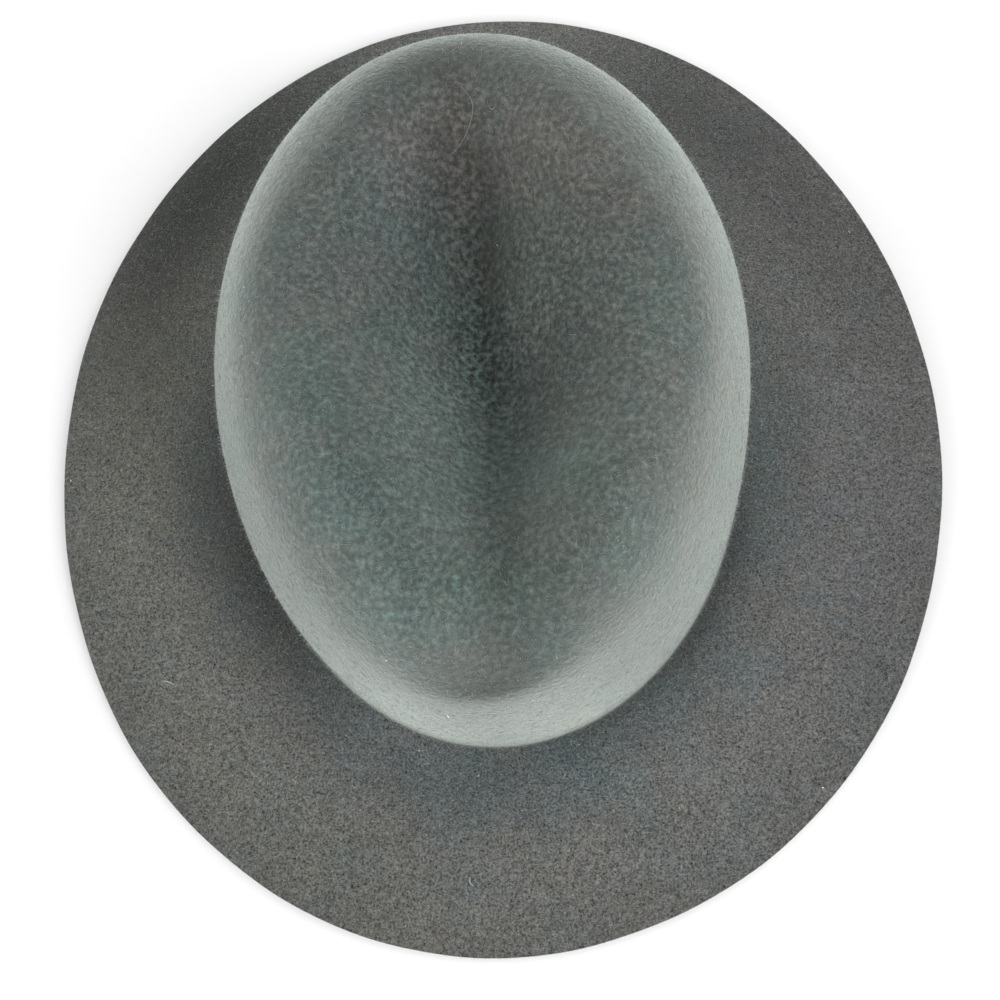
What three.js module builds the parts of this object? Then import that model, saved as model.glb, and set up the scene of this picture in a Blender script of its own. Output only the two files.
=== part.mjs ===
// A wide-brimmed hat blocked from one piece of wool felt: an egg-shaped crown with a soft
// centre crease, and a flat oval brim with a raw cut edge. There is no band and no lining.
// Millimetres. +Z is up, the front of the hat faces -Y, and the origin is the middle of the
// surface that the brim rests on.

import * as THREE from "three";

// Driving dimensions
const FELT = 2.2;
const HEAD_HALF_WIDTH = 84;
const HEAD_HALF_LENGTH = 102;
const BRIM_SIDE = 69.3;
const BRIM_END = 67.2;
const BRIM_SHIFT = -0.35;
const EDGE_HEIGHT = 4.6;
const CROWN_TOP = 123.5;
const FRONT_DIP = 12;
const BACK_RISE = 2;

// The crown leans a little towards -X, more and more between these heights
const CROWN_LEAN = -1.1;
const LEAN_STARTS = 10;
const LEAN_ENDS = 100;

// The crease starts to show above the wall, and its sides flare out to the lips by a power
const CREASE_STARTS = 92;
const CREASE_IS_FULL = 122;
const CREASE_FLARE = 1.8;

const COLOUR = 0x686f69;
const ROUGHNESS = 0.95;

// Facets round the hat and from the cut edge to the middle of the tip
const STEPS_ROUND = 76;
const STEPS_PER_SECTION = { brim: 1, bend: 2, wall: 1, tip: 2 };

// How far apart the points are that give the slope of the surface
const SLOPE_STEP = 1e-3;

// Oval sections of the upper surface, from the cut edge in to the middle of the tip.
// Each row pulls the surface towards itself as a control section of a cubic B-spline.
// height is where the section's upper surface lies above what the brim rests on. inset is how
// far the section lies inside the head oval at the sides, endInset the same at the front and
// back, setBack is how far both ends sit towards the back, and egg is how much wider the back
// is than the front.
const SECTIONS = [
  { part: "brim", height: EDGE_HEIGHT, inset: -BRIM_SIDE, endInset: -BRIM_END, setBack: BRIM_SHIFT, egg: -0.01 },
  { part: "brim", height: 3.1, inset: -55, endInset: -53.5, setBack: BRIM_SHIFT, egg: -0.01 },
  { part: "brim", height: FELT, inset: -42, endInset: -41, setBack: 0, egg: -0.01 },
  { part: "brim", height: FELT, inset: -30, endInset: -29.5, setBack: 0, egg: -0.006 },
  { part: "brim", height: FELT, inset: -19, endInset: -18.7, setBack: 0, egg: 0.004 },
  { part: "brim", height: FELT, inset: -9, endInset: -8.8, setBack: 0, egg: 0.012 },
  { part: "bend", height: FELT, inset: -3.2, endInset: -3.8, setBack: 0, egg: 0.016 },
  { part: "bend", height: FELT, inset: -0.9, endInset: -1.5, setBack: 0, egg: 0.018 },
  { part: "bend", height: 5, inset: -0.5, endInset: -1.2, setBack: 0, egg: 0.018 },
  { part: "wall", height: 20, inset: 0.2, endInset: -0.5, setBack: 0, egg: 0.02 },
  { part: "wall", height: 46, inset: 1.4, endInset: 0.6, setBack: 0.5, egg: 0.036 },
  { part: "bend", height: 67, inset: 3, endInset: 1, setBack: 1.6, egg: 0.1 },
  { part: "bend", height: 85, inset: 7.6, endInset: 2, setBack: 2.4, egg: 0.118 },
  { part: "bend", height: 100, inset: 14.2, endInset: 5.5, setBack: 1.8, egg: 0.105 },
  { part: "bend", height: 110, inset: 20.5, endInset: 11.5, setBack: 0.8, egg: 0.088 },
  { part: "bend", height: 117, inset: 28.5, endInset: 19, setBack: 0, egg: 0.072 },
  { part: "tip", height: 121.5, inset: 40, endInset: 30, setBack: 0, egg: 0.056 },
  { part: "tip", height: CROWN_TOP, inset: 51, endInset: 47, setBack: 0, egg: 0.04 },
  { part: "tip", height: CROWN_TOP, inset: 62, endInset: 65, setBack: 0, egg: 0.026 },
  { part: "tip", height: CROWN_TOP, inset: 73, endInset: 83, setBack: 0, egg: 0.013 },
];

// The crease along the tip, from front to back at even stations. centre is where its fold
// runs, depth is how far it sinks below the lips, reach is from the fold to each lip, and soft
// is the share of the reach that rounds the fold off.
const FIRST_STATION = -100;
const STATION_STEP = 25;
const CREASE = [
  { centre: 3, depth: 13, reach: 42, soft: 0.4 },
  { centre: 9.5, depth: 6.5, reach: 17, soft: 0.45 },
  { centre: 4.5, depth: 13.5, reach: 33, soft: 0.5 },
  { centre: 7.5, depth: 31, reach: 55, soft: 0.2 },
  { centre: 1, depth: 41, reach: 70, soft: 0.1 },
  { centre: -1.5, depth: 41, reach: 63, soft: 0.08 },
  { centre: -2.5, depth: 36, reach: 40, soft: 0.22 },
  { centre: -4, depth: 4.5, reach: 23, soft: 0.35 },
  { centre: -5, depth: 0, reach: 36, soft: 0.3 },
];

// Value of one column of a table at a place between its rows, by a uniform cubic B-spline.
// rowAt gives the row for a number, also just past the ends.
function spline(rowAt, column, place) {
  const row = Math.floor(place);
  const t = place - row;
  const weights = [
    (1 - t) ** 3,
    3 * t ** 3 - 6 * t ** 2 + 4,
    -3 * t ** 3 + 3 * t ** 2 + 3 * t + 1,
    t ** 3,
  ];
  const sum = weights.reduce((total, weight, k) => total + weight * rowAt(row - 1 + k)[column], 0);
  return sum / 6;
}

// Section rows carry on past the cut edge in a straight line, and past the middle of the tip
// as the same rows seen from the other side.
const TIP_ROW = SECTIONS.length;
const TIP_SECTION = { height: CROWN_TOP, halfWidth: 0, halfLength: 0, setBack: 0, egg: 0 };

function sized({ height, inset, endInset, setBack, egg }) {
  return {
    height,
    halfWidth: HEAD_HALF_WIDTH - inset,
    halfLength: HEAD_HALF_LENGTH - endInset,
    setBack,
    egg,
  };
}

function beyondEdge() {
  const edge = sized(SECTIONS[0]);
  const next = sized(SECTIONS[1]);
  const row = {};
  for (const column of Object.keys(edge)) row[column] = 2 * edge[column] - next[column];
  return row;
}

function sectionAt(row) {
  if (row < 0) return beyondEdge();
  if (row < TIP_ROW) return sized(SECTIONS[row]);
  if (row === TIP_ROW) return TIP_SECTION;
  const mirrored = sized(SECTIONS[2 * TIP_ROW - row]);
  return {
    ...mirrored,
    halfWidth: -mirrored.halfWidth,
    halfLength: -mirrored.halfLength,
    egg: -mirrored.egg,
  };
}

function creaseAt(row) {
  return CREASE[THREE.MathUtils.clamp(row, 0, CREASE.length - 1)];
}

// How far the crease lowers the tip at a point in plan: deepest at its fold, where the V is
// rounded, and flattening out to nothing at the lips.
function creaseDrop(x, y) {
  const place = THREE.MathUtils.clamp((y - FIRST_STATION) / STATION_STEP, 0, CREASE.length - 1);
  const centre = spline(creaseAt, "centre", place);
  const depth = spline(creaseAt, "depth", place);
  const reach = spline(creaseAt, "reach", place);
  const soft = spline(creaseAt, "soft", place);
  const aside = Math.hypot((x - centre) / reach, soft) - soft;
  const full = Math.hypot(1, soft) - soft;
  const share = Math.min(aside / full, 1);
  return depth * (1 - share) ** CREASE_FLARE;
}

// How much of the crease shows at a height: none on the wall, all of it on the tip
function creaseShare(height) {
  return THREE.MathUtils.smoothstep(height, CREASE_STARTS, CREASE_IS_FULL);
}

// Point of the upper surface: place counts sections in from the cut edge, turn is the angle
// round the hat from +X. The crown is lowest at its front and a little higher at its back.
function upperPoint(place, turn) {
  const halfWidth = spline(sectionAt, "halfWidth", place);
  const halfLength = spline(sectionAt, "halfLength", place);
  const setBack = spline(sectionAt, "setBack", place);
  const egg = spline(sectionAt, "egg", place);
  const height = spline(sectionAt, "height", place);
  const lean = CROWN_LEAN * THREE.MathUtils.smoothstep(height, LEAN_STARTS, LEAN_ENDS);
  const x = halfWidth * Math.cos(turn) * (1 + egg * Math.sin(turn)) + lean;
  const y = Math.sin(turn) * (halfLength + setBack * Math.sin(turn));
  const raised = ((height - FELT) / (CROWN_TOP - FELT)) ** 2;
  const front = Math.max(-y / HEAD_HALF_LENGTH, 0) ** 2;
  const back = Math.max(y / HEAD_HALF_LENGTH, 0) ** 2;
  const tilt = raised * (BACK_RISE * back - FRONT_DIP * front);
  const crease = creaseShare(height) * creaseDrop(x, y);
  return new THREE.Vector3(x, y, height + tilt - crease);
}

// Outward normal of the upper surface, from points a small step apart
function upperNormal(place, turn) {
  const quarter = Math.PI / 2;
  const step = SLOPE_STEP;
  if (place > TIP_ROW - step) {
    const inTip = TIP_ROW - step;
    const across = upperPoint(inTip, 0).sub(upperPoint(inTip, Math.PI));
    const along = upperPoint(inTip, quarter).sub(upperPoint(inTip, -quarter));
    return across.cross(along).normalize();
  }
  const round = upperPoint(place, turn + step).sub(upperPoint(place, turn - step));
  const inward = upperPoint(place + step, turn).sub(upperPoint(place - step, turn));
  return round.cross(inward).normalize();
}

// Places of the rings from the cut edge to the last one before the middle of the tip
function ringPlaces() {
  const places = [];
  SECTIONS.forEach(({ part }, row) => {
    const steps = STEPS_PER_SECTION[part];
    for (let step = 0; step < steps; step += 1) places.push(row + step / steps);
  });
  return places;
}

// The felt as one closed shell: the upper side, the same surface pushed in by the felt's
// thickness, and the cut edge between them.
function feltShell() {
  const places = ringPlaces();
  const positions = [];
  const faces = [];

  const addPoint = (point) => {
    positions.push(point.x, point.y, point.z);
    return positions.length / 3 - 1;
  };
  const addSide = (depth) => {
    const pointAt = (place, turn) =>
      upperPoint(place, turn).addScaledVector(upperNormal(place, turn), -depth);
    const rings = places.map((place) =>
      Array.from({ length: STEPS_ROUND }, (_, k) =>
        addPoint(pointAt(place, (2 * Math.PI * k) / STEPS_ROUND)),
      ),
    );
    return { rings, tip: addPoint(pointAt(TIP_ROW, 0)) };
  };
  const addFace = (a, b, c, flipped) => faces.push(...(flipped ? [a, c, b] : [a, b, c]));
  const addBand = (outer, inner, flipped) => {
    for (let k = 0; k < STEPS_ROUND; k += 1) {
      const next = (k + 1) % STEPS_ROUND;
      addFace(outer[k], outer[next], inner[next], flipped);
      addFace(outer[k], inner[next], inner[k], flipped);
    }
  };
  const addFaces = ({ rings, tip }, flipped) => {
    for (let r = 0; r + 1 < rings.length; r += 1) addBand(rings[r], rings[r + 1], flipped);
    const last = rings[rings.length - 1];
    for (let k = 0; k < STEPS_ROUND; k += 1) {
      addFace(last[k], last[(k + 1) % STEPS_ROUND], tip, flipped);
    }
  };

  const upper = addSide(0);
  const under = addSide(FELT);
  addFaces(upper, false);
  addFaces(under, true);
  addBand(under.rings[0], upper.rings[0], false);

  const geometry = new THREE.BufferGeometry();
  geometry.setAttribute("position", new THREE.Float32BufferAttribute(positions, 3));
  geometry.setIndex(faces);
  geometry.computeVertexNormals();
  return geometry;
}

const woolFelt = new THREE.MeshStandardMaterial({
  name: "wool_felt",
  color: COLOUR,
  roughness: ROUGHNESS,
  metalness: 0,
});

const hatBody = new THREE.Mesh(feltShell(), woolFelt);
hatBody.name = "felt_hat_body";

const hat = new THREE.Group();
hat.add(hatBody);

export default hat;
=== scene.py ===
import math

import bpy
import numpy as np
from mathutils import Matrix, Vector


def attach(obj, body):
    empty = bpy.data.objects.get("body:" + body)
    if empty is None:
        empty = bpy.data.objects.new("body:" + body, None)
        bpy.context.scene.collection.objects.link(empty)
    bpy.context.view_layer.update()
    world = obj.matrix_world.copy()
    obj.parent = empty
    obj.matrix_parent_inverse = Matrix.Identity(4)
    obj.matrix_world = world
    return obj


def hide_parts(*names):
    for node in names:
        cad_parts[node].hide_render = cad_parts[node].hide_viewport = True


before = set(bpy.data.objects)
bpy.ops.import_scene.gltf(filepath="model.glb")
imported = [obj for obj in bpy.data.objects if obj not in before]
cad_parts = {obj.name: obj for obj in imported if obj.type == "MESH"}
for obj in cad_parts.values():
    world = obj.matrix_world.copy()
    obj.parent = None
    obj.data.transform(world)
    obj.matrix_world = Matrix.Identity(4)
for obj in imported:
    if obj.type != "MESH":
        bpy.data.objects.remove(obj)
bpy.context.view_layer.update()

# The hat body is one cone of wool felt, steamed and pulled over a block, so crown and brim are a
# single sheet about two millimetres thick. The tip is creased by hand along its middle while it
# is damp, and the brim is pressed flat and cut off raw.
MM = 0.001
felt_thickness = 2.2 * MM
head_half_width = 84 * MM
head_half_length = 102 * MM
crown_top = 121.3 * MM
front_dip = 12 * MM
back_rise = 2 * MM
crown_lean = -1.1 * MM
lean_starts, lean_ends = 8 * MM, 98 * MM
crease_starts, crease_is_full = 90 * MM, 120 * MM
crease_flare = 1.8

# Oval sections of the felt's upper side, from the cut edge in to the middle of the tip.
# Columns: height above the felt lying flat, inset from the head oval at the sides, inset at the
# front and back, how far both ends sit towards the back, and how much wider the back is than
# the front.
sections = np.array([
    (2.4 * MM, -69.3 * MM, -67.2 * MM, -0.35 * MM, -0.010),
    (0.9 * MM, -55 * MM, -53.5 * MM, -0.35 * MM, -0.010),
    (0 * MM, -42 * MM, -41 * MM, 0 * MM, -0.010),
    (0 * MM, -30 * MM, -29.5 * MM, 0 * MM, -0.006),
    (0 * MM, -19 * MM, -18.7 * MM, 0 * MM, 0.004),
    (0 * MM, -9 * MM, -8.8 * MM, 0 * MM, 0.012),
    (0 * MM, -3.2 * MM, -3.8 * MM, 0 * MM, 0.016),
    (0 * MM, -0.9 * MM, -1.5 * MM, 0 * MM, 0.018),
    (2.8 * MM, -0.5 * MM, -1.2 * MM, 0 * MM, 0.018),
    (17.8 * MM, 0.2 * MM, -0.5 * MM, 0 * MM, 0.020),
    (43.8 * MM, 1.4 * MM, 0.6 * MM, 0.5 * MM, 0.036),
    (64.8 * MM, 3 * MM, 1 * MM, 1.6 * MM, 0.100),
    (82.8 * MM, 7.6 * MM, 2 * MM, 2.4 * MM, 0.118),
    (97.8 * MM, 14.2 * MM, 5.5 * MM, 1.8 * MM, 0.105),
    (107.8 * MM, 20.5 * MM, 11.5 * MM, 0.8 * MM, 0.088),
    (114.8 * MM, 28.5 * MM, 19 * MM, 0 * MM, 0.072),
    (119.3 * MM, 40 * MM, 30 * MM, 0 * MM, 0.056),
    (crown_top, 51 * MM, 47 * MM, 0 * MM, 0.040),
    (crown_top, 62 * MM, 65 * MM, 0 * MM, 0.026),
    (crown_top, 73 * MM, 83 * MM, 0 * MM, 0.013),
])

# The crease along the tip, from front to back at even stations. Columns: where its fold runs,
# how far it sinks below the lips, how far each lip lies from the fold, and the share of that
# way that rounds the fold off.
first_station = -100 * MM
station_step = 25 * MM
crease = np.array([
    (3 * MM, 13 * MM, 42 * MM, 0.40),
    (9.5 * MM, 6.5 * MM, 17 * MM, 0.45),
    (4.5 * MM, 13.5 * MM, 33 * MM, 0.50),
    (7.5 * MM, 31 * MM, 55 * MM, 0.20),
    (1 * MM, 41 * MM, 70 * MM, 0.10),
    (-1.5 * MM, 41 * MM, 63 * MM, 0.08),
    (-2.5 * MM, 36 * MM, 40 * MM, 0.22),
    (-4 * MM, 4.5 * MM, 23 * MM, 0.35),
    (-5 * MM, 0 * MM, 36 * MM, 0.30),
])


def spline(rows, place):
    """Uniform cubic B-spline over control rows: at place p the four rows round p are weighted by
    the cubic basis of its fraction. rows has one spare row before row 0 and two after the last."""
    row = np.floor(place).astype(int)
    t = (place - row)[..., None]
    weights = ((1 - t) ** 3, 3 * t**3 - 6 * t**2 + 4, -3 * t**3 + 3 * t**2 + 3 * t + 1, t**3)
    return sum(w * rows[row + k] for k, w in enumerate(weights)) / 6


tip_place = len(sections)
half_sizes = np.column_stack([
    sections[:, 0],
    head_half_width - sections[:, 1],
    head_half_length - sections[:, 2],
    sections[:, 3],
    sections[:, 4],
])
tip_row = np.array([[crown_top, 0, 0, 0, 0]])
far_side = half_sizes[::-1][:2] * (1, -1, -1, 1, -1)
section_rows = np.vstack([2 * half_sizes[:1] - half_sizes[1:2], half_sizes, tip_row, far_side])
crease_rows = np.vstack([crease[:1], crease, crease[-1:], crease[-1:]])


def crease_drop(x, y):
    """How far the crease lowers the tip: depth times a power of how much of the way is left from
    the fold to the lip, with the way rounded off at the fold."""
    place = np.clip((y - first_station) / station_step, 0, len(crease) - 1)
    centre, depth, reach, soft_share = np.moveaxis(spline(crease_rows, place), -1, 0)
    share = np.hypot((x - centre) / reach, soft_share) - soft_share
    share = np.clip(share / (np.hypot(1, soft_share) - soft_share), 0, 1)
    return depth * (1 - share) ** crease_flare


def smooth_step(value, low, high):
    """0 below low, 1 above high, and a cubic ease between."""
    t = np.clip((value - low) / (high - low), 0, 1)
    return t * t * (3 - 2 * t)


def felt_upper(place, turn):
    """Point of the felt's upper side. place counts sections in from the cut edge and turn is the
    angle round the hat from +X: an oval of the spline's half width and half length, widened
    towards the back by the egg share and leaning a little to one side. The crown falls towards
    its front and rises a little at its back with the square of the height, and the crease sinks
    its tip."""
    height, half_width, half_length, set_back, egg = np.moveaxis(spline(section_rows, place), -1, 0)
    lean = crown_lean * smooth_step(height, lean_starts, lean_ends)
    stray = hand_cut(place, turn)
    x = (half_width + stray) * np.cos(turn) * (1 + egg * np.sin(turn)) + lean
    y = np.sin(turn) * (half_length + stray + set_back * np.sin(turn))
    raised = (height / crown_top) ** 2
    front = np.maximum(-y / head_half_length, 0) ** 2
    back = np.maximum(y / head_half_length, 0) ** 2
    tilt = raised * (back_rise * back - front_dip * front)
    sink = smooth_step(height, crease_starts, crease_is_full) * crease_drop(x, y)
    return np.stack([x, y, felt_thickness + height + tilt - sink], axis=-1)


# The cut edge wanders. Columns: waves round the hat, how far each strays, and where it starts.
edge_waves = ((4, 0.25 * MM, 3.14), (7, 0.18 * MM, 0.6), (13, 0.10 * MM, 2.1), (29, 0.05 * MM, 4.4))
wavy_sections = 2


def hand_cut(place, turn):
    """How far the outline strays from its oval: a sum of sine waves round the hat that dies away
    over the outer rows, because the brim is cut along a chalk line by hand."""
    waves = sum(size * np.sin(lobes * turn + phase) for lobes, size, phase in edge_waves)
    return waves * np.clip(1 - place / wavy_sections, 0, 1) ** 2


def felt_normal(place, turn):
    """Outward normal: the cross product of the steps round the hat and in towards the tip."""
    step = 1e-4
    place = np.minimum(place, tip_place - 2 * step)
    around = felt_upper(place, turn + step) - felt_upper(place, turn - step)
    inward = felt_upper(place + step, turn) - felt_upper(place - step, turn)
    normal = np.cross(around, inward)
    return normal / np.linalg.norm(normal, axis=-1, keepdims=True)


def mesh_piece(name, points, faces):
    """A mesh object from an array of points and an array of faces of one size."""
    mesh = bpy.data.meshes.new(name)
    mesh.vertices.add(len(points))
    mesh.vertices.foreach_set("co", points.astype(np.float32).ravel())
    mesh.loops.add(faces.size)
    mesh.loops.foreach_set("vertex_index", faces.astype(np.int32).ravel())
    mesh.polygons.add(len(faces))
    mesh.polygons.foreach_set("loop_start", np.arange(0, faces.size, faces.shape[1], dtype=np.int32))
    mesh.polygons.foreach_set("use_smooth", np.ones(len(faces), dtype=bool))
    mesh.update(calc_edges=True)
    mesh.validate()
    piece = bpy.data.objects.new(name, mesh)
    bpy.context.collection.objects.link(piece)
    return piece


# The rings of points stand closest at the crown's foot, where the felt bends most. Columns: from
# which section, to which, and how many rings.
steps_round = 360
close_to_edge = 0.01
ring_spans = ((0, 5, 25), (5, 9, 30), (9, 11, 10), (11, tip_place, 87))
rings_inside = np.concatenate([
    np.linspace(first, last, count, endpoint=False) for first, last, count in ring_spans
])[1:]
upper_rings = np.append([0, close_to_edge], rings_inside)
under_rings = np.append([0, close_to_edge], rings_inside[1::2])
turns = np.linspace(0, 2 * np.pi, steps_round, endpoint=False)


def felt_side(rings, depth):
    """Points of rings of the felt, pushed in from the upper side by depth along its normal."""
    place, turn = np.meshgrid(rings, turns, indexing="ij")
    return felt_upper(place, turn) - depth * felt_normal(place, turn)


tip_above = felt_upper(np.array([tip_place]), np.array([0.0]))
tip_below = tip_above - felt_thickness * felt_normal(np.array([tip_place]), np.array([0.0]))
upper_side = felt_side(upper_rings, 0)
under_side = felt_side(under_rings, felt_thickness)
rings_all = np.concatenate([under_side[::-1], upper_side])
last_under = len(under_side) - 1
ring_count = len(rings_all)
grid = np.arange(ring_count * steps_round).reshape(ring_count, steps_round)
beside = np.roll(grid, -1, axis=1)
band_faces = np.stack([grid[:-1], beside[:-1], beside[1:], grid[1:]], axis=-1).reshape(-1, 4)
shell_faces = np.vstack([band_faces[:, [0, 1, 2]], band_faces[:, [0, 2, 3]]])
below_index = grid.size
above_index = grid.size + 1
ends = np.vstack([
    np.column_stack([grid[-1], beside[-1], np.full(steps_round, above_index)]),
    np.column_stack([beside[0], grid[0], np.full(steps_round, below_index)]),
])

all_round = 999

# Soft round patches of painted light and shade over the surface, partly also uneven tone of the
# felt: painted shade beside the crown's foot, over the back of the brim, on the front of the
# crown's wall and at the back of its lips; painted light over the front and sides of the brim;
# painted highlights on the crown's rims at the left and right; and lighter and darker patches of
# painted light and shade over the tip. Columns: angle round the hat in degrees, section in from
# the cut edge, half widths of the patch in degrees and in sections, and how much paler (or
# darker, below 0) it is.
light_and_shade_patches = np.array([
    (210, 5.6, 28, 1.6, -0.58),
    (328, 6.1, 30, 1.1, -0.60),
    (270, 5.0, 30, 1.4, -0.14),
    (248, 5.6, 13, 1.0, 0.36),
    (188, 4.2, 24, 1.6, -0.32),
    (140, 1.0, 30, 1.8, -0.72),
    (132, 0.5, 22, 0.9, -0.22),
    (56, 1.3, 24, 1.8, -0.55),
    (216, 2.2, 32, 1.9, 0.34),
    (270, 1.2, 36, 1.3, 0.12),
    (314, 2.5, 34, 1.9, 0.22),
    (4, 2.0, 12, 0.9, 0.16),
    (192, 1.2, 20, 1.0, 0.14),
    (290, 6.9, 36, 0.6, -0.35),
    (238, 12.2, 34, 1.0, -0.35),
    (276, 12.9, 34, 0.8, -0.40),
    (244, 10.9, 20, 1.3, -0.60),
    (296, 10.9, 18, 1.3, -0.50),
    (269, 11.4, 15, 1.5, -0.60),
    (168, 13.2, 34, 0.8, 0.45),
    (6, 12.4, 26, 0.8, 0.35),
    (90, 14.4, 64, 0.8, -0.50),
    (65, 14.7, 15, 0.8, -0.35),
    (114, 14.7, 15, 0.8, -0.35),
    (250, 15.3, 20, 0.9, 0.22),
    (10, 14.6, 30, 1.2, 0.14),
    (350, 15.2, 35, 0.8, 0.26),
    (220, 15.6, 45, 1.4, 0.40),
    (325, 15.4, 34, 1.3, 0.20),
    (15, 17.2, 45, 0.8, -0.20),
    (200, 17.4, 34, 1.0, -0.22),
    (300, 17.6, 30, 1.2, -0.06),
    (345, 18.0, 25, 0.7, -0.14),
    (36, 18.7, 32, 0.6, 0.38),
    (0, 20.0, all_round, 1.3, 0.22),
])

# Painted shade along the fold of the crease: the tip is darker along it, in a straight line.
tip_starts = 17
fold_x = 4.3 * MM
fold_half_width = 3.2 * MM
fold_shade = 0.42

# Where the dye has taken greener; the greener ring beside the crown's foot is the cool tint of
# painted shade there. Columns as above, after a share for each section.
teal_by_section = np.array([
    (0, 0.05), (2.5, 0.12), (4, 0.30), (6, 0.42), (8, 0.35), (13, 0.4), (15, 0.5), (17, 0.65),
    (20, 0.85),
])
teal_patches = np.array([
    (280, 5.0, 32, 1.8, 0.40),
    (0, 5.0, 20, 1.5, 0.30),
    (250, 17.0, 75, 2.5, 0.22),
    (75, 17.0, 62, 2.0, -0.50),
    (20, 0.8, 40, 2.5, -0.15),
    (165, 1.0, 40, 1.5, -0.15),
])

# Where it has taken bluer, or more olive below 0; the bluer patch at the front of the crown's
# foot is the cool tint of painted shade there. Columns as in the patches.
blue_patches = np.array([
    (350, 1.6, 34, 2.8, 0.75),
    (45, 1.2, 20, 1.2, 0.50),
    (165, 2.0, 34, 2.0, -0.90),
    (236, 1.4, 28, 1.4, -0.45),
    (280, 5.0, 45, 1.6, 0.45),
    (312, 16.4, 40, 1.2, -0.50),
    (140, 17.5, 30, 1.4, 0.45),
    (40, 17.4, 40, 1.2, -0.35),
])


def bells(patches, place, turn):
    """Sum over the patches of the amount times a bell curve of the distance from its middle."""
    total = np.zeros(np.broadcast(place, turn).shape)
    for angle, section, half_angle, half_sections, amount in patches:
        aside = np.degrees(np.angle(np.exp(1j * (turn - math.radians(angle))))) / half_angle
        inwards = (place - section) / half_sections
        total = total + amount * np.exp(-aside**2 - inwards**2)
    return total


hat_felt = mesh_piece(
    "hat_felt",
    np.vstack([rings_all.reshape(-1, 3), tip_below, tip_above]),
    np.vstack([shell_faces, ends]),
)

# How loose the nap lies, from the brushed brim over the pressed crown to the tip.
# Columns: section in from the cut edge, and the share of the flecks' full contrast.
looseness = np.array([
    (0, 1), (6.5, 1), (8, 0.35), (12.5, 0.35), (14, 0.55), (15.5, 0.75), (17, 0.85), (18.5, 1.2),
    (20, 1.9),
])
loose_patches = np.array([
    (100, 17.0, 40, 1.6, 0.15),
    (20, 17.8, 40, 1.6, 0.35),
])


def set_layer(name, values):
    """Stores a value for every point of the felt, to be read by its material."""
    layer = hat_felt.data.attributes.new(name, "FLOAT", "POINT")
    layer.data.foreach_set("value", values.astype(np.float32))


place_of = np.repeat(np.concatenate([under_rings[::-1], upper_rings]), steps_round)
place_of = np.append(place_of, (tip_place, tip_place))
turn_of = np.append(np.tile(turns, ring_count), (0, 0))
on_upper = np.arange(len(place_of)) >= len(under_rings) * steps_round
felt_spots = felt_upper(place_of, turn_of)
from_fold = felt_spots[:, 0] - fold_x
sunk_share = crease_drop(felt_spots[:, 0], felt_spots[:, 1]) / crease[:, 1].max()
in_fold = (place_of > tip_starts) * sunk_share
# Painted shade along the fold, deepest where the crease sinks most.
painted_fold_shade = fold_shade * in_fold**2 * np.exp(-(from_fold / fold_half_width) ** 2)
# The felt's painted light and shade: the patches less the fold's painted shade, upper side only.
set_layer("painted_light_and_shade", (bells(light_and_shade_patches, place_of, turn_of) - painted_fold_shade) * on_upper)
# The greener share, which beside the crown's foot carries the cool tint of painted shade.
set_layer("teal", np.interp(place_of, *teal_by_section.T) + bells(teal_patches, place_of, turn_of))
set_layer("blue", bells(blue_patches, place_of, turn_of))
set_layer("loose", np.interp(place_of, *looseness.T) + bells(loose_patches, place_of, turn_of))
cut_edge = np.zeros(len(hat_felt.data.polygons), dtype=bool)
for start in (0, len(band_faces)):
    cut_edge[start + last_under * steps_round:start + (last_under + 1) * steps_round] = True
hat_felt.data.polygons.foreach_set("use_smooth", ~cut_edge)
hat_felt.data.polygons.foreach_set("material_index", cut_edge.astype(np.int32))
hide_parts("felt_hat_body")
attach(hat_felt, "root")


class Wire:
    """A node socket in a sum: + - * and powers of it add Math nodes."""

    def __init__(self, tree, socket):
        self.tree = tree
        self.socket = socket

    def node(self, kind, inputs=(), output=0, **settings):
        """Adds any node: its settings first, then the values or links of its sockets."""
        made = self.tree.nodes.new(kind)
        for name, value in settings.items():
            setattr(made, name, value)
        for name, value in dict(inputs).items():
            if isinstance(value, Wire):
                self.tree.links.new(value.socket, made.inputs[name])
            else:
                made.inputs[name].default_value = value
        return Wire(self.tree, made.outputs[output])

    def math(self, operation, *values):
        return self.node("ShaderNodeMath", enumerate(values), operation=operation)

    def __add__(self, other):
        return self.math("ADD", self, other)

    def __mul__(self, other):
        return self.math("MULTIPLY", self, other)

    def __sub__(self, other):
        return self.math("SUBTRACT", self, other)

    def __rsub__(self, other):
        return self.math("SUBTRACT", other, self)

    def __pow__(self, other):
        return self.math("POWER", self, other)

    __radd__ = __add__
    __rmul__ = __mul__


def new_finish(name):
    """A node material with only its Principled shader; returns it, the shader and a wire to
    Object coordinates."""
    material = bpy.data.materials.new(name)
    material.use_nodes = True
    shader = material.node_tree.nodes["Principled BSDF"]
    coordinates = material.node_tree.nodes.new("ShaderNodeTexCoord")
    return material, shader, Wire(material.node_tree, coordinates.outputs["Object"])


def grain(at, scale, detail=2.0, roughness=0.5, distortion=0.0):
    """Noise of so many waves a metre, from 0 to 1."""
    inputs = {"Vector": at, "Scale": scale, "Detail": detail, "Roughness": roughness,
              "Distortion": distortion}
    return at.node("ShaderNodeTexNoise", inputs, noise_type="FBM", noise_dimensions="3D")


def spread(value, low, high):
    """Stretches low..high to 0..1, cut off at both ends."""
    return value.node("ShaderNodeMapRange", {"Value": value, "From Min": low, "From Max": high})


def tint(share, first, second):
    """Colour that goes from first to second with share; each may be a wire."""
    return share.node("ShaderNodeMix", {0: share, 6: first, 7: second}, output=2,
                      data_type="RGBA")


def stored(at, name):
    """The value that a mesh's points carry under a name."""
    return at.node("ShaderNodeAttribute", output="Fac", attribute_name=name)


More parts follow.
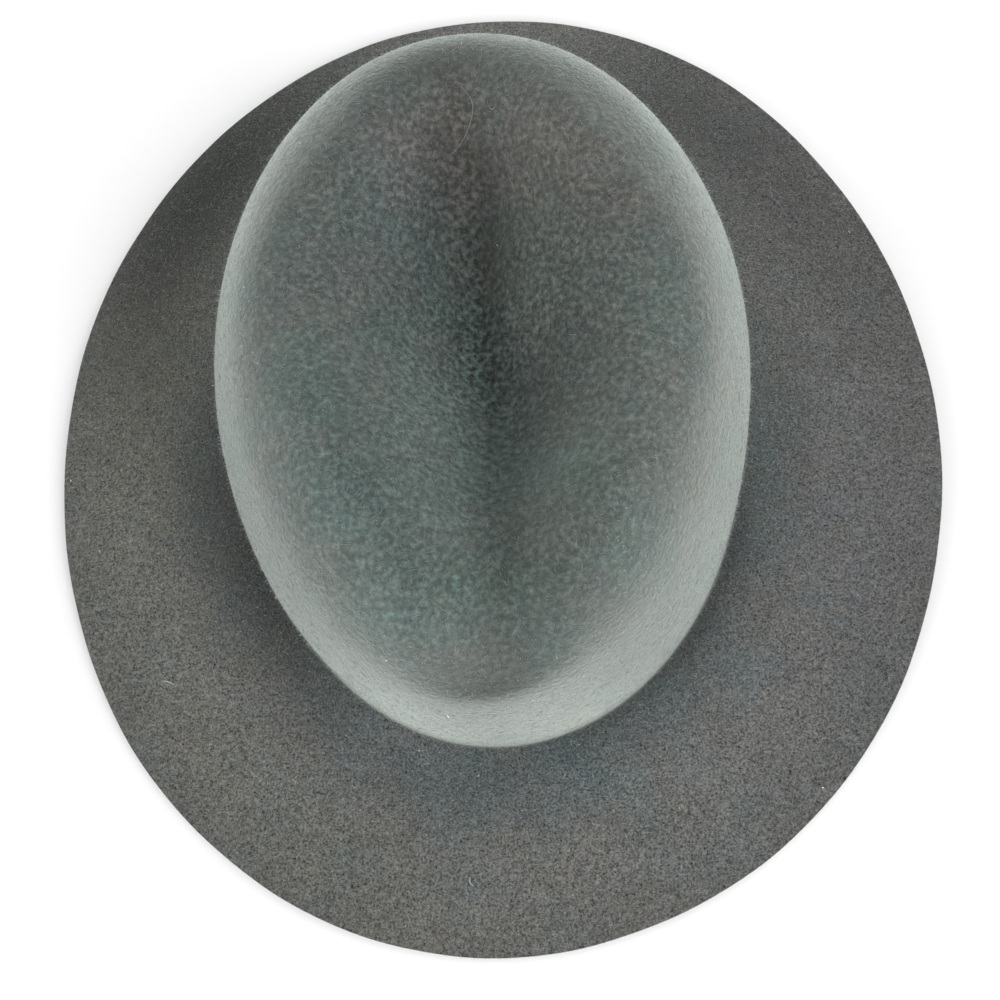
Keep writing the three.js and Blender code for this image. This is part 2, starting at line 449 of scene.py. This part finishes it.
def scaled(colour, amount):
    """A colour made paler or darker by an amount."""
    return colour.node("ShaderNodeVectorMath", {0: colour, 3: amount}, operation="SCALE")


def link(wire, shader, name):
    """Feeds a wire into a named input of the shader."""
    wire.tree.links.new(wire.socket, shader.inputs[name])


def add_bloom(shader):
    """The pale bloom of fine wool, seen along its surface: a faintly green sheen."""
    shader.inputs["Sheen Weight"].default_value = 0.66
    shader.inputs["Sheen Roughness"].default_value = 0.5
    shader.inputs["Sheen Tint"].default_value = (0.91, 1.0, 0.935, 1)


# The felt is dark grey wool whose dye took a little greener or bluer in patches; beside the
# crown's foot it is painted cooler, as shade. Its fibre ends fleck it, sharply on the brushed
# brim and softly on the pressed crown.
brim_tone = 0.087
crown_tone = 0.062
patch_share = 0.5
mottle_share = 0.16
cloud_share = 0.12
blue_reach = 0.12
felt, felt_shader, felt_at = new_finish("dark_grey_wool_felt")
on_crown = spread(felt_at.node("ShaderNodeSeparateXYZ", {0: felt_at}, output=2), 3.5 * MM, 14 * MM)
patches = spread(grain(felt_at, 45, detail=3), 0.35, 0.65)
clouds = spread(grain(felt_at, 75, detail=2), 0.35, 0.65)
mottles = spread(grain(felt_at, 280, detail=2), 0.35, 0.65)
fine = grain(felt_at, 1400, detail=3, roughness=0.75, distortion=0.5)
coarse = grain(felt_at, 620, detail=2, roughness=0.5)
neutral_grey = (1.04, 1.0, 0.94, 1)
blue_grey = (0.76, 1.0, 1.02, 1)
teal_grey = (0.66, 1.0, 0.92, 1)
teal = stored(felt_at, "teal")
dyed = teal + patch_share * (patches - 0.5) + mottle_share * (mottles - 0.5)
cast = tint(on_crown, tint(dyed, neutral_grey, blue_grey), tint(dyed, neutral_grey, teal_grey))
blue = stored(felt_at, "blue") + 0.5 * (mottles - 0.5)
blue_share = blue.node("ShaderNodeCombineXYZ", {0: 1.0, 1: 1.0, 2: 1 + blue_reach * blue})
cast = cast.node("ShaderNodeVectorMath", {0: cast, 1: blue_share}, operation="MULTIPLY")
ground = scaled(cast, brim_tone - (brim_tone - crown_tone) * on_crown)
sharp = 2 * spread(fine, 0.36, 0.64) - 1
soft = 2.2 * spread(coarse, 0.30, 0.80) ** 1.6 - 0.57
brim_flecks = sharp * 0.85 + soft * 0.4
crown_flecks = sharp * 0.25 + soft * 0.8
fleck = brim_flecks * (1 - on_crown) + crown_flecks * on_crown
loose = stored(felt_at, "loose")
# Painted light and shade, stored on the felt's points, scales the felt's colour below.
light_and_shade = stored(felt_at, "painted_light_and_shade")
clouded = 1 + cloud_share * (clouds - 0.5)
flecked = scaled(ground, (1 + fleck * loose) * clouded * (1 + light_and_shade))
link(flecked, felt_shader, "Base Color")
link(0.86 + 0.14 * coarse, felt_shader, "Roughness")
relief = coarse * 0.5 + fine * (1 - on_crown * 0.7)
bump = felt_at.node("ShaderNodeBump", {"Height": relief, "Distance": 0.6 * MM, "Strength": 1})
link(bump, felt_shader, "Normal")
felt_shader.inputs["Specular IOR Level"].default_value = 0.1
add_bloom(felt_shader)
hat_felt.data.materials.append(felt)

# Across the cut the felt shows its packed inside: darker, matt and without nap.
cut_felt, cut_shader, cut_at = new_finish("cut_wool_felt")
packed = grain(cut_at, 1600, detail=3, roughness=0.7)
link(tint(packed, (0.030, 0.032, 0.031, 1), (0.075, 0.080, 0.077, 1)), cut_shader, "Base Color")
link(0.9 + 0.1 * packed, cut_shader, "Roughness")
cut_bump = cut_at.node("ShaderNodeBump", {"Height": packed, "Distance": 0.3 * MM, "Strength": 1})
link(cut_bump, cut_shader, "Normal")
cut_shader.inputs["Specular IOR Level"].default_value = 0.1
hat_felt.data.materials.append(cut_felt)

# The nap is the wool's own fibre ends, raised when the felt is brushed. They lie every way over
# both sides of the felt, most of them as grey as the felt and some paler, and a few stand up.
root_sunk = 0.02 * MM
cell_margin = 0.05


def spots_on_felt(first, last, count, draw):
    """Random spots, even over the upper side between two sections: a patch between two rings
    and two turns is drawn in proportion to its area, then a spot in it."""
    used = upper_rings[(upper_rings >= first) & (upper_rings <= last)]
    corner = felt_side(used, 0)
    across = np.roll(corner, -1, axis=1)[:-1] - corner[:-1]
    inwards = corner[1:] - corner[:-1]
    area = np.linalg.norm(np.cross(across, inwards), axis=-1).ravel()
    drawn = draw.choice(area.size, size=count, p=area / area.sum())
    ring, step = np.unravel_index(drawn, (len(used) - 1, steps_round))
    place = used[ring] + (used[ring + 1] - used[ring]) * draw.random(count)
    turn = (step + draw.random(count)) * 2 * np.pi / steps_round
    return place, turn


def unit(vectors):
    """The vectors at length one."""
    return vectors / np.linalg.norm(vectors, axis=-1, keepdims=True)


def threads(name, path, up, thickness, pale):
    """Closed three-sided threads along paths of points, pointed at both ends and swelling to
    their thickness as the root of half a sine wave. up points away from the felt. The piece's
    own UV map gives every thread a cell of a square grid, with its three sides as strips."""
    count, steps = path.shape[:2]
    rings = steps - 2
    side = unit(np.cross(up, np.gradient(path, axis=1)))
    way = np.linspace(0, 1, steps)
    swell = thickness[:, None] / 2 * np.sqrt(np.sin(np.pi * way[1:-1]))
    corner = np.radians((90, 210, 330))[:, None]
    spoke = side[:, 1:-1, None] * np.cos(corner) + up[:, 1:-1, None] * np.sin(corner)
    skin = path[:, 1:-1, None] + spoke * swell[:, :, None, None]
    points = np.concatenate([path[:, :1], skin.reshape(count, -1, 3), path[:, -1:]], axis=1)
    faces, cell = [], []
    for k in range(3):
        low, high = k / 3, (k + 1) / 3
        here, beyond = 1 + k, 1 + (k + 1) % 3
        faces.append((0, beyond, here))
        cell.append(((0, (low + high) / 2), (way[1], high), (way[1], low)))
        for ring in range(rings - 1):
            a, b = here + 3 * ring, beyond + 3 * ring
            u, v = way[ring + 1], way[ring + 2]
            faces += [(a, b, b + 3), (a, b + 3, a + 3)]
            cell += [((u, low), (u, high), (v, high)), ((u, low), (v, high), (v, low))]
        a, b = here + 3 * rings - 3, beyond + 3 * rings - 3
        faces.append((a, b, 3 * rings + 1))
        cell.append(((way[-2], low), (way[-2], high), (1, (low + high) / 2)))
    first = np.arange(count)[:, None, None] * points.shape[1]
    piece = mesh_piece(name, points.reshape(-1, 3), (np.array(faces) + first).reshape(-1, 3))
    cells_across = math.ceil(math.sqrt(count))
    number = np.arange(count)
    origin = np.stack([number % cells_across, number // cells_across], axis=-1)
    spots = (origin[:, None, None] + cell_margin + (1 - 2 * cell_margin) * np.array(cell)) / cells_across
    own_map = piece.data.uv_layers.new(name="OFBake")
    own_map.uv.foreach_set("vector", spots.astype(np.float32).ravel())
    pale_layer = piece.data.attributes.new("pale", "FLOAT", "POINT")
    pale_layer.data.foreach_set("value", np.repeat(pale, points.shape[1]).astype(np.float32))
    piece.data.materials.append(wool)
    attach(piece, "root")


def lying(root, lie, up, length, rise, bow, steps):
    """Paths that run from their roots along the felt, bowed sideways as a parabola, and leave it
    by their rise times a power of the way."""
    way = np.linspace(0, 1, steps)[None, :, None]
    length, rise, bow = (value[:, None, None] for value in (length, rise, bow))
    lie, up, root = lie[:, None], up[:, None], root[:, None]
    sideways = np.cross(up, lie) * bow * length * 4 * way * (1 - way)
    leaving = rise * way**1.5 - root_sunk * (1 - way)
    return root + lie * length * way + sideways + up * leaving


def on_plane(heading, up):
    """Headings turned into unit vectors along the felt."""
    return unit(heading - up * np.sum(heading * up, axis=-1, keepdims=True))


wool, wool_shader, wool_at = new_finish("grey_wool_fibre")
paleness = stored(wool_at, "pale")
fibre_colour = tint(paleness, (0.060, 0.064, 0.062, 1), (0.70, 0.72, 0.69, 1))
link(scaled(fibre_colour, 0.9 + 0.2 * grain(wool_at, 900, detail=1)), wool_shader, "Base Color")
wool_shader.inputs["Roughness"].default_value = 0.75
wool_shader.inputs["Specular IOR Level"].default_value = 0.2
add_bloom(wool_shader)

shortest_share = 0.35
nap_bow = 0.22
thickness_stray = 0.3

# Columns: piece, seed, fibres, first and last section, longest fibre, thickness, highest rise,
# palest share, points along a fibre, and the side of the felt.
naps = [
    ("nap_of_brim", 11, 33000, 0.1, 6.6, 2.0 * MM, 0.09 * MM, 0.35 * MM, 0.65, 3, "above"),
    ("nap_of_crown", 12, 33000, 7.2, tip_place, 2.4 * MM, 0.08 * MM, 0.25 * MM, 0.35, 3, "above"),
    ("nap_of_underside", 13, 20000, 0.1, tip_place, 2.4 * MM, 0.08 * MM, 0.3 * MM, 0.5, 3, "below"),
    ("raised_nap", 16, 20000, 9.0, 15.0, 0.5 * MM, 0.10 * MM, 1.5 * MM, 1.0, 3, "above"),
    ("long_nap", 14, 12000, 0.3, tip_place, 5.0 * MM, 0.055 * MM, 0.4 * MM, 0.4, 4, "above"),
]
for name, seed, count, first, last, longest, thickness, lift, palest, steps, where in naps:
    draw = np.random.default_rng(seed)
    place, turn = spots_on_felt(first, last, count, draw)
    up = felt_normal(place, turn)
    root = felt_upper(place, turn)
    if where == "below":
        root, up = root - felt_thickness * up, -up
    lie = on_plane(draw.normal(size=(count, 3)), up)
    length = longest * (shortest_share + (1 - shortest_share) * draw.random(count))
    rise = lift * draw.random(count)**2
    bow = draw.uniform(-nap_bow, nap_bow, count)
    path = lying(root, lie, up, length, rise, bow, steps)
    thick = thickness * draw.uniform(1 - thickness_stray, 1 + thickness_stray, count)
    pale = palest * draw.random(count)**2
    threads(name, path, np.repeat(up[:, None], steps, axis=1), thick, pale)

# The cut edge is frayed a little: short fibre ends stand out of it all round, most of them
# pointing away from the hat.
fray_count = 5000
fray_length = 0.6 * MM
shortest_fray = 0.3
fray_thickness = 0.05 * MM
fray_scatter = 0.8
fray_bow = 0.3
fray_paleness = 0.2
fray_steps = 3
draw = np.random.default_rng(15)
turn = draw.uniform(0, 2 * np.pi, fray_count)
edge_place = np.zeros(fray_count)
up = felt_normal(edge_place, turn)
outwards = felt_upper(edge_place, turn) - felt_upper(edge_place + 0.1, turn)
root = felt_upper(edge_place, turn) - up * felt_thickness * draw.uniform(0, 1, fray_count)[:, None]
lie = unit(unit(outwards) + fray_scatter * draw.normal(size=(fray_count, 3)))
length = fray_length * draw.uniform(shortest_fray, 1, fray_count)
bow = draw.uniform(-fray_bow, fray_bow, fray_count)
path = lying(root, lie, up, length, 0 * length, bow, fray_steps)
threads("frayed_edge", path, np.repeat(up[:, None], fray_steps, axis=1),
        np.full(fray_count, fray_thickness), fray_paleness * draw.random(fray_count))

# Stray lint that a worn hat picks up, as short bits and specks. Columns: angle round the hat,
# section, heading from +X in plan, length, bow to one side, thickness, and how pale it is.
lint = np.array([
    (212.5, 1.35, -18, 5.0 * MM, 0.10, 0.22 * MM, 1.0),
    (266.5, 1.85, -70, 3.4 * MM, -0.25, 0.20 * MM, 0.8),
    (236.0, 2.45, -52, 2.4 * MM, 0.30, 0.16 * MM, 0.7),
    (83.0, 16.20, 15, 1.9 * MM, -0.40, 0.12 * MM, 0.7),
    (77.0, 18.00, 20, 3.0 * MM, 0.10, 0.08 * MM, 0.5),
    (73.0, 18.00, 40, 0.7 * MM, 0, 0.40 * MM, 0.8),
    (263.0, 11.65, 0, 0.8 * MM, 0, 0.60 * MM, 1.0),
    (249.0, 13.65, 80, 0.9 * MM, 0, 0.50 * MM, 0.9),
    (222.0, 11.80, 0, 0.6 * MM, 0, 0.35 * MM, 0.8),
    (183.5, 0.15, -80, 1.0 * MM, 0.10, 0.35 * MM, 1.0),
    (193.0, 0.75, -60, 1.6 * MM, 0.30, 0.22 * MM, 0.9),
    (29.0, 0.45, -75, 1.5 * MM, 0.10, 0.32 * MM, 0.9),
    (315.0, 0.30, 0, 0.6 * MM, 0, 0.50 * MM, 1.0),
    (266.5, 4.80, 0, 0.5 * MM, 0, 0.40 * MM, 1.0),
    (253.5, 5.35, 0, 0.5 * MM, 0, 0.40 * MM, 1.0),
    (321.0, 8.60, -30, 1.4 * MM, 0.20, 0.20 * MM, 0.5),
    (240.5, 9.35, -110, 1.2 * MM, 0.20, 0.20 * MM, 0.5),
])
lint_steps = 7
angle, section, heading, length, bow, thickness, pale = lint.T
turn, aim = np.radians(angle), np.radians(heading)
up = felt_normal(section, turn)
lie = on_plane(np.stack([np.cos(aim), np.sin(aim), 0 * aim], axis=-1), up)
root = felt_upper(section, turn) + up * thickness[:, None] / 2
path = lying(root, lie, up, length, thickness, bow, lint_steps)
threads("stray_lint", path, np.repeat(up[:, None], lint_steps, axis=1), thickness, pale)

# One long pale hair lies in a bow at the back of the tip, along a spline. Columns: section and
# angle round the hat.
hair_rows = np.array([
    (15.60, 97.0), (15.75, 93.5), (15.90, 91.0), (16.05, 89.3), (16.16, 88.9), (16.30, 89.6),
    (16.45, 91.5), (16.60, 94.5), (16.70, 98.0), (16.80, 103.0), (16.86, 106.0), (16.9, 108.0),
])
hair_steps = 25
hair_lift = 0.12 * MM
hair_thickness = 0.09 * MM
hair_paleness = 0.7
section, angle = spline(hair_rows, np.linspace(0, len(hair_rows) - 4, hair_steps)).T
turn = np.radians(angle)
up = felt_normal(section, turn)
path = felt_upper(section, turn) + hair_lift * up
threads("stray_hair", path[None], up[None], np.array([hair_thickness]), np.array([hair_paleness]))

# A pale table top that the hat rests on. A sweep of white paper rises all round behind it, and
# only the camera sees it, so that it keeps no light from the hat.
table_half = 4.0
table_top = mesh_piece(
    "table_top",
    np.array([(-1, -1, 0), (1, -1, 0), (1, 1, 0), (-1, 1, 0)]) * table_half,
    np.array([[0, 1, 2, 3]]),
)
paint, paint_shader, paint_at = new_finish("matt_white_paint")
shade = tint(grain(paint_at, 3), (0.86, 0.86, 0.86, 1), (0.88, 0.88, 0.88, 1))
link(shade, paint_shader, "Base Color")
paint_shader.inputs["Roughness"].default_value = 0.9
table_top.data.materials.append(paint)

sweep_start = 2.4
sweep_bend = 1.2
sweep_height = 5.0
sweep_steps_up = 25
sweep_steps_round = 96
bend = np.linspace(0, np.pi / 2, sweep_steps_up)[:, None]
around = np.linspace(0, 2 * np.pi, sweep_steps_round, endpoint=False)
reach = np.vstack([sweep_start + sweep_bend * np.sin(bend), [[sweep_start + sweep_bend]]])
rise = np.vstack([sweep_bend * (1 - np.cos(bend)), [[sweep_height]]])
sweep_rings = np.stack([reach * np.cos(around), reach * np.sin(around), rise + 0 * around], axis=-1)
grid = np.arange(sweep_rings[..., 0].size).reshape(-1, len(around))
beside = np.roll(grid, -1, axis=1)
sweep_faces = np.stack([grid[:-1], grid[1:], beside[1:], beside[:-1]], axis=-1).reshape(-1, 4)
paper_sweep = mesh_piece("paper_sweep", sweep_rings.reshape(-1, 3), sweep_faces)
paper_sweep.visible_shadow = False
paper_sweep.visible_diffuse = False
paper_sweep.visible_glossy = False
paper_sweep.data.materials.append(paint)

# Soft studio light: a pale room and a ring of wide soft boxes, most of them low, so that they
# graze the crown from all round and light it most from its front left.
scene = bpy.context.scene
room = bpy.data.worlds.new("pale_room")
room.use_nodes = True
room.node_tree.nodes["Background"].inputs["Color"].default_value = (1, 1, 1, 1)
room.node_tree.nodes["Background"].inputs["Strength"].default_value = 0.565
scene.world = room
soft_box_width = math.radians(35)


def soft_box(name, azimuth, elevation, strength):
    """A far, wide lamp, seen from the hat at an azimuth from +X towards +Y and an elevation."""
    lamp = bpy.data.lights.new(name, "SUN")
    lamp.energy = strength
    lamp.angle = soft_box_width
    box = bpy.data.objects.new(name, lamp)
    around, up = math.radians(azimuth), math.radians(elevation)
    place = Vector((math.cos(around) * math.cos(up), math.sin(around) * math.cos(up), math.sin(up)))
    box.matrix_world = place.to_track_quat("Z", "Y").to_matrix().to_4x4()
    bpy.context.collection.objects.link(box)


soft_box("front_left_box", 225, 12, 2.22)
soft_box("front_right_box", 315, 35, 1.22)
soft_box("front_right_low_box", 315, 12, 1.02)
soft_box("right_box", 0, 12, 1.64)
soft_box("left_box", 180, 12, 1.52)
soft_box("back_right_box", 45, 12, 1.24)
soft_box("back_left_box", 135, 12, 0.40)
soft_box("high_back_box", 45, 60, 0.30)

# The camera looks down on the hat from over the front of its brim, as the hat was photographed.
# Its place, lean and focal length are fitted to the outlines of the brim and the crown.
camera_place = Vector((0.0231, -0.1202, 0.4195))
lean_from_plumb = math.radians(13.614)
swing = math.radians(-2.857)
roll = math.radians(-0.725)
focal_share = 1.2329
forward = Vector((
    math.sin(swing),
    math.sin(lean_from_plumb) * math.cos(swing),
    -math.cos(lean_from_plumb) * math.cos(swing),
)).normalized()
ahead = Vector((0, math.cos(lean_from_plumb), math.sin(lean_from_plumb)))
level_right = forward.cross(ahead).normalized()
level_up = level_right.cross(forward)
right = math.cos(roll) * level_right + math.sin(roll) * level_up
up = math.cos(roll) * level_up - math.sin(roll) * level_right
lens = bpy.data.cameras.new("photo_camera")
lens.sensor_width = 36
lens.lens = lens.sensor_width * focal_share
lens.clip_start = 0.01
camera = bpy.data.objects.new("photo_camera", lens)
camera.matrix_world = Matrix((
    (right.x, up.x, -forward.x, camera_place.x),
    (right.y, up.y, -forward.y, camera_place.y),
    (right.z, up.z, -forward.z, camera_place.z),
    (0, 0, 0, 1),
))
bpy.context.collection.objects.link(camera)
scene.camera = camera
scene.view_settings.view_transform = "Standard"
